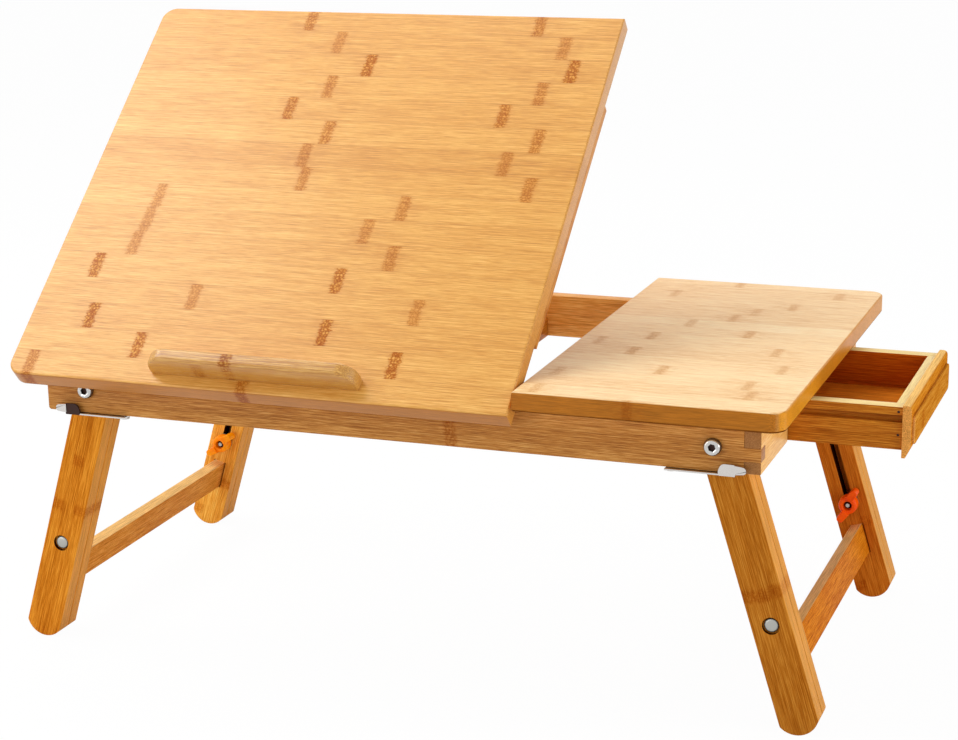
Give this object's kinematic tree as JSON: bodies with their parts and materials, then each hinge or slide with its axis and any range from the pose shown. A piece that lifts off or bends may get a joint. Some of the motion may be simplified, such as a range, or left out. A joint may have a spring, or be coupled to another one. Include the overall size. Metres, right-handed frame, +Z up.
{
  "type": "folding laptop table with drawer",
  "caption": "Folding bamboo laptop table with a tilting panel, book ledge, fixed side panel, pull-out drawer and splayed legs that fold and extend.",
  "frame": {"origin": "centre of the bounding box at rest, on the plane the feet stand on", "axes": "+X along the length towards the drawer, +Y from the front (book ledge) to the back, +Z up"},
  "size_m": [0.6332, 0.354, 0.4345],
  "materials": {
    "bamboo_top": "oiled, satin",
    "bamboo_rail": "oiled, satin",
    "bamboo_leg": "oiled, satin",
    "bamboo_drawer": "oiled, satin",
    "zinc_steel": "bright zinc plate",
    "brass_steel": "bright",
    "orange_plastic": "moulded, semi-matte"
  },
  "bodies": {
    "tray": {"back_drawer_guide": "bamboo_rail", "back_drawer_runner": "bamboo_rail", "back_rail": "bamboo_rail", "drawer_stop_board": "bamboo_rail", "fixed_side_panel": "bamboo_top", "front_drawer_guide": "bamboo_rail", "front_drawer_runner": "bamboo_rail", "front_rail": "bamboo_rail", "hinge_pins": "brass_steel", "hinge_rail_leaves": "brass_steel", "hinge_rail_screws": "brass_steel", "latch_screws": "zinc_steel", "left_end_rail": "bamboo_rail", "left_notch_rail": "bamboo_rail", "leg_pivot_bolts": "zinc_steel", "leg_pivot_nuts": "zinc_steel", "right_back_end_rail": "bamboo_rail", "right_front_end_rail": "bamboo_rail", "right_notch_rail": "bamboo_rail"},
    "tilting_top": {"book_ledge": "bamboo_top", "hinge_panel_leaves": "brass_steel", "hinge_panel_screws": "brass_steel", "left_panel_batten": "bamboo_rail", "prop_brackets": "bamboo_rail", "prop_pins": "zinc_steel", "right_panel_batten": "bamboo_rail", "tilt_panel": "bamboo_top"},
    "drawer": {"drawer_back_side": "bamboo_drawer", "drawer_back_wall": "bamboo_drawer", "drawer_bottom": "bamboo_drawer", "drawer_brads": "zinc_steel", "drawer_front_board": "bamboo_drawer", "drawer_front_side": "bamboo_drawer", "drawer_front_wall": "bamboo_drawer", "drawer_pull_plate": "bamboo_drawer"},
    "left_lower_legs": {"left_back_inner_leg": "bamboo_leg", "left_front_inner_leg": "bamboo_leg", "left_stretcher": "bamboo_leg"},
    "left_upper_legs": {"left_back_outer_leg": "bamboo_leg", "left_clamp_bolts": "zinc_steel", "left_clamp_washers": "zinc_steel", "left_front_outer_leg": "bamboo_leg"},
    "left_back_wing_nut": {"left_back_wing_nut": "orange_plastic"},
    "left_front_wing_nut": {"left_front_wing_nut": "orange_plastic"},
    "left_latch_clip": {"left_latch_clip": "zinc_steel"},
    "prop": {"prop_cross_bar": "bamboo_rail", "prop_foot_rod": "bamboo_rail", "prop_left_arm": "bamboo_rail", "prop_right_arm": "bamboo_rail"},
    "right_lower_legs": {"right_back_inner_leg": "bamboo_leg", "right_front_inner_leg": "bamboo_leg", "right_stretcher": "bamboo_leg"},
    "right_upper_legs": {"right_back_outer_leg": "bamboo_leg", "right_clamp_bolts": "zinc_steel", "right_clamp_washers": "zinc_steel", "right_front_outer_leg": "bamboo_leg"},
    "right_back_wing_nut": {"right_back_wing_nut": "orange_plastic"},
    "right_front_wing_nut": {"right_front_wing_nut": "orange_plastic"},
    "right_latch_clip": {"right_latch_clip": "zinc_steel"}
  },
  "joints": [
    {"name": "panel_tilt", "type": "hinge", "parent": "tray", "child": "tilting_top", "pos_m": [-0.09835, -0.14996, 0.21214], "axis": [1, 0, 0], "range_deg": [-40.68, 4]},
    {"name": "prop_swing", "type": "hinge", "parent": "tilting_top", "child": "prop", "pos_m": [-0.02835, -0.04684, 0.29161], "axis": [1, 0, 0], "range_deg": [-9, 86]},
    {"name": "drawer_slide", "type": "slide", "parent": "tray", "child": "drawer", "axis": [1, 0, 0], "range_m": [-0.075, 0.02]},
    {"name": "left_leg_fold", "type": "hinge", "parent": "tray", "child": "left_upper_legs", "pos_m": [-0.24735, 0.00344, 0.19534], "axis": [0, 1, 0], "range_deg": [-106.8, 0]},
    {"name": "left_leg_extend", "type": "slide", "parent": "left_upper_legs", "child": "left_lower_legs", "axis": [-0.2894, 0, -0.9572], "range_m": [0, 0.08]},
    {"name": "left_front_wing_nut_turn", "type": "hinge", "parent": "left_upper_legs", "child": "left_front_wing_nut", "pos_m": [-0.28407, -0.11006, 0.07387], "axis": [0, 1, 0], "continuous": true},
    {"name": "left_back_wing_nut_turn", "type": "hinge", "parent": "left_upper_legs", "child": "left_back_wing_nut", "pos_m": [-0.28407, 0.11694, 0.07387], "axis": [0, -1, 0], "continuous": true},
    {"name": "left_clip_press", "type": "hinge", "parent": "tray", "child": "left_latch_clip", "pos_m": [-0.21935, -0.15056, 0.17814], "axis": [0, 1, 0], "range_deg": [-6, 0], "stiffness_Nm_per_rad": 4.3},
    {"name": "right_leg_fold", "type": "hinge", "parent": "tray", "child": "right_upper_legs", "pos_m": [0.20265, 0.00344, 0.19534], "axis": [0, -1, 0], "range_deg": [-106.8, 0]},
    {"name": "right_leg_extend", "type": "slide", "parent": "right_upper_legs", "child": "right_lower_legs", "axis": [0.2894, 0, -0.9572], "range_m": [0, 0.08]},
    {"name": "right_front_wing_nut_turn", "type": "hinge", "parent": "right_upper_legs", "child": "right_front_wing_nut", "pos_m": [0.23937, -0.11006, 0.07387], "axis": [0, 1, 0], "continuous": true},
    {"name": "right_back_wing_nut_turn", "type": "hinge", "parent": "right_upper_legs", "child": "right_back_wing_nut", "pos_m": [0.23937, 0.11694, 0.07387], "axis": [0, -1, 0], "continuous": true},
    {"name": "right_clip_press", "type": "hinge", "parent": "tray", "child": "right_latch_clip", "pos_m": [0.17465, -0.15056, 0.17814], "axis": [0, -1, 0], "range_deg": [-6, 0], "stiffness_Nm_per_rad": 4.3}
  ],
  "couplings": [
    {"joint": "prop_swing", "follows": "panel_tilt", "ratio": -2.1059}
  ]
}
